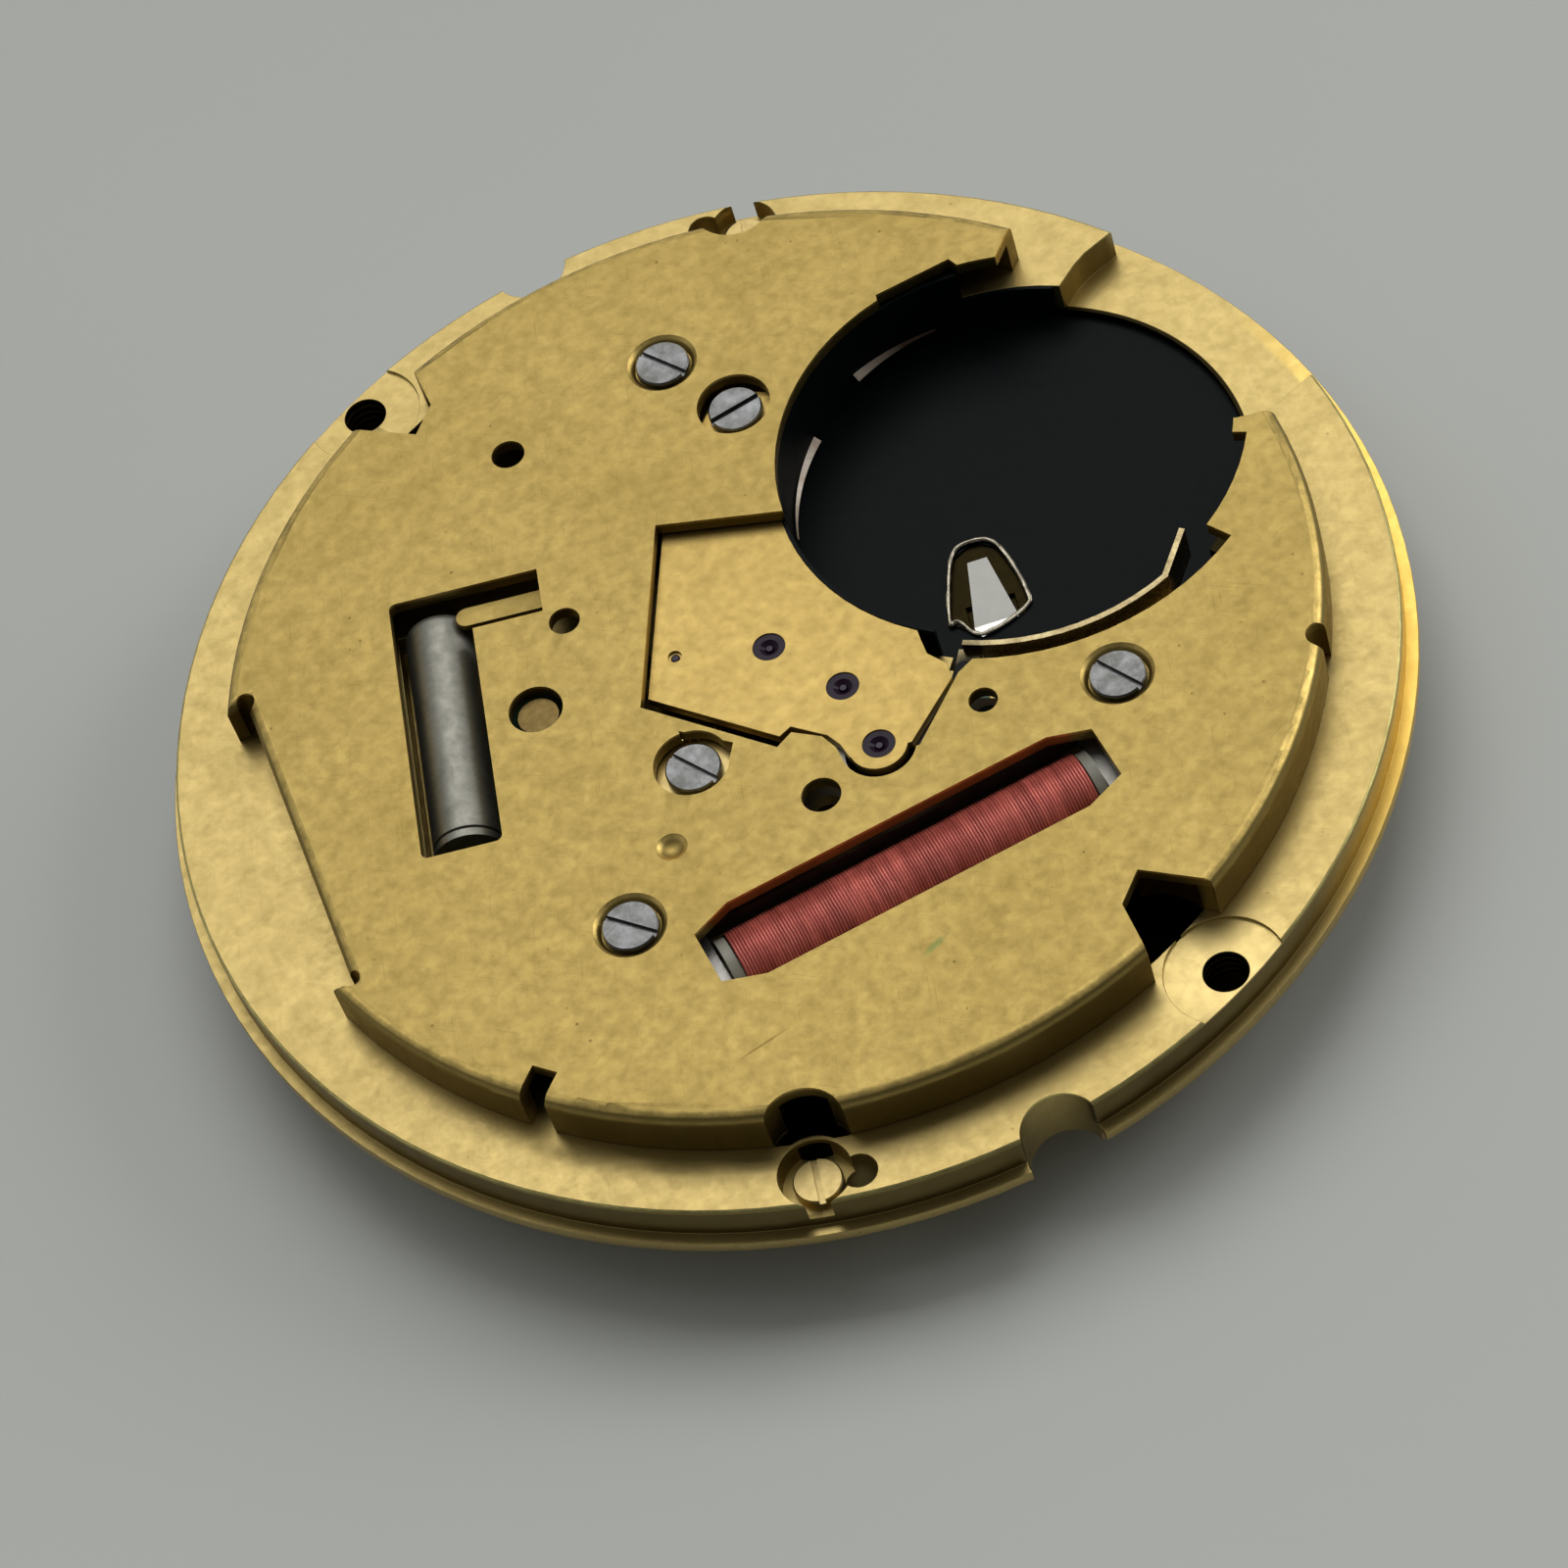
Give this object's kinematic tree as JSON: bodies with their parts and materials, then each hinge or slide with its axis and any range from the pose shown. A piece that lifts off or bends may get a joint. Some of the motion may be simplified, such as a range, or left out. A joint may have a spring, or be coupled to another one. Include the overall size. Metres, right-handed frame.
{
  "type": "watch movement",
  "caption": "Round flat quartz watch movement with a gilt cover over the back, an open battery well, coil and crystal windows, and hand posts on the dial side.",
  "frame": {"origin": "on the axis of the hands, at the dial seat", "axes": "+Z out of the battery side, +Y out along the stem, +X towards the battery well"},
  "size_m": [0.026, 0.026, 0.0041],
  "materials": {
    "plate": "gilt, fine matte",
    "cover": "gilt, satin, sheet",
    "bridge": "gilt, satin",
    "jewel": "polished",
    "screw_steel": "polished heads",
    "screw_gilt": "pale gilt",
    "insulator": "satin black film",
    "contact": "bright spring steel",
    "board": "solder mask",
    "resin": "black resin",
    "can": "dull tin",
    "lead": "tinned",
    "winding": "enamelled copper wire",
    "iron": "soft iron",
    "cheek": "grey moulded",
    "magnet": "sintered",
    "arbor": "polished",
    "wheel": "gilt",
    "steel": "hardened",
    "dial_side": "nickel plated"
  },
  "bodies": {
    "movement": {"main_plate": "plate", "cover_posts": "plate", "bridge_posts": "plate", "bridge_pins": "plate", "stator_posts": "plate", "locating_post": "plate", "movement_cover": "cover", "train_bridge": "bridge", "bridge_jewels": "jewel", "plate_jewels": "jewel", "cover_screws": "screw_steel", "bridge_screws": "screw_steel", "dial_screws": "screw_gilt", "circuit_clamp": "screw_gilt", "battery_insulator": "insulator", "negative_contact": "contact", "positive_contact": "contact", "circuit_board": "board", "circuit_chip": "resin", "quartz_can": "can", "quartz_leads": "lead", "coil_winding": "winding", "coil_core": "iron", "coil_cheeks": "cheek", "stator": "iron", "dial_cover": "dial_side", "dial_cover_screws": "dial_side"},
    "rotor": {"rotor_magnet": "magnet", "rotor_pinion": "arbor"},
    "intermediate": {"intermediate_wheel": "wheel", "intermediate_pinion": "arbor"},
    "seconds": {"seconds_wheel": "wheel", "seconds_arbor": "arbor"},
    "third": {"third_wheel": "wheel", "third_pinion": "arbor"},
    "center": {"center_wheel": "wheel", "center_arbor": "arbor"},
    "cannon": {"cannon_pinion": "steel"},
    "minute": {"minute_wheel": "wheel"},
    "hour": {"hour_wheel": "wheel"},
    "setting_wheel": {"setting_wheel": "wheel"},
    "setting_lever": {"setting_lever": "steel"},
    "yoke": {"yoke": "steel"},
    "sliding_pinion": {"sliding_pinion": "steel"}
  },
  "joints": [
    {"name": "seconds_spin", "type": "hinge", "parent": "movement", "child": "seconds", "pos_m": [0, 0, 0.001], "axis": [0, 0, 1], "continuous": true},
    {"name": "intermediate_spin", "type": "hinge", "parent": "movement", "child": "intermediate", "pos_m": [0.00086, -0.00175, 0.001], "axis": [0, 0, 1], "continuous": true},
    {"name": "rotor_spin", "type": "hinge", "parent": "movement", "child": "rotor", "pos_m": [0.00086, -0.00345, 0.001], "axis": [0, 0, 1], "continuous": true},
    {"name": "third_spin", "type": "hinge", "parent": "movement", "child": "third", "pos_m": [-0.00175, 0.00088, 0.001], "axis": [0, 0, 1], "continuous": true},
    {"name": "center_spin", "type": "hinge", "parent": "movement", "child": "center", "pos_m": [0, 0, 0.001], "axis": [0, 0, 1], "continuous": true},
    {"name": "cannon_spin", "type": "hinge", "parent": "movement", "child": "cannon", "pos_m": [0, 0, 0.001], "axis": [0, 0, 1], "continuous": true},
    {"name": "minute_spin", "type": "hinge", "parent": "movement", "child": "minute", "pos_m": [-0.0009, 0.00179, 0.001], "axis": [0, 0, 1], "continuous": true},
    {"name": "hour_spin", "type": "hinge", "parent": "movement", "child": "hour", "pos_m": [0, 0, 0.001], "axis": [0, 0, 1], "continuous": true},
    {"name": "setting_wheel_spin", "type": "hinge", "parent": "movement", "child": "setting_wheel", "pos_m": [-0.0003, 0.00421, 0.001], "axis": [0, 0, 1], "continuous": true},
    {"name": "lever_turn", "type": "hinge", "parent": "movement", "child": "setting_lever", "pos_m": [-0.00261, 0.00746, 0.00028], "axis": [0, 0, 1], "range_deg": [0, 8]},
    {"name": "yoke_turn", "type": "hinge", "parent": "movement", "child": "yoke", "pos_m": [0.0026, 0.0062, 0.00028], "axis": [0, 0, 1], "range_deg": [0, 4.8]},
    {"name": "pinion_slide", "type": "slide", "parent": "movement", "child": "sliding_pinion", "axis": [0, -1, 0], "range_m": [0, 0.00022]}
  ],
  "couplings": [
    {"joint": "intermediate_spin", "follows": "seconds_spin", "ratio": -5},
    {"joint": "rotor_spin", "follows": "seconds_spin", "ratio": 30},
    {"joint": "third_spin", "follows": "seconds_spin", "ratio": -0.1},
    {"joint": "center_spin", "follows": "seconds_spin", "ratio": 0.016667},
    {"joint": "minute_spin", "follows": "cannon_spin", "ratio": -0.33333},
    {"joint": "hour_spin", "follows": "cannon_spin", "ratio": 0.083333},
    {"joint": "setting_wheel_spin", "follows": "cannon_spin", "ratio": 0.5},
    {"joint": "lever_turn", "follows": "pinion_slide", "rad_per_m": 634.67},
    {"joint": "yoke_turn", "follows": "pinion_slide", "rad_per_m": 380.8}
  ]
}
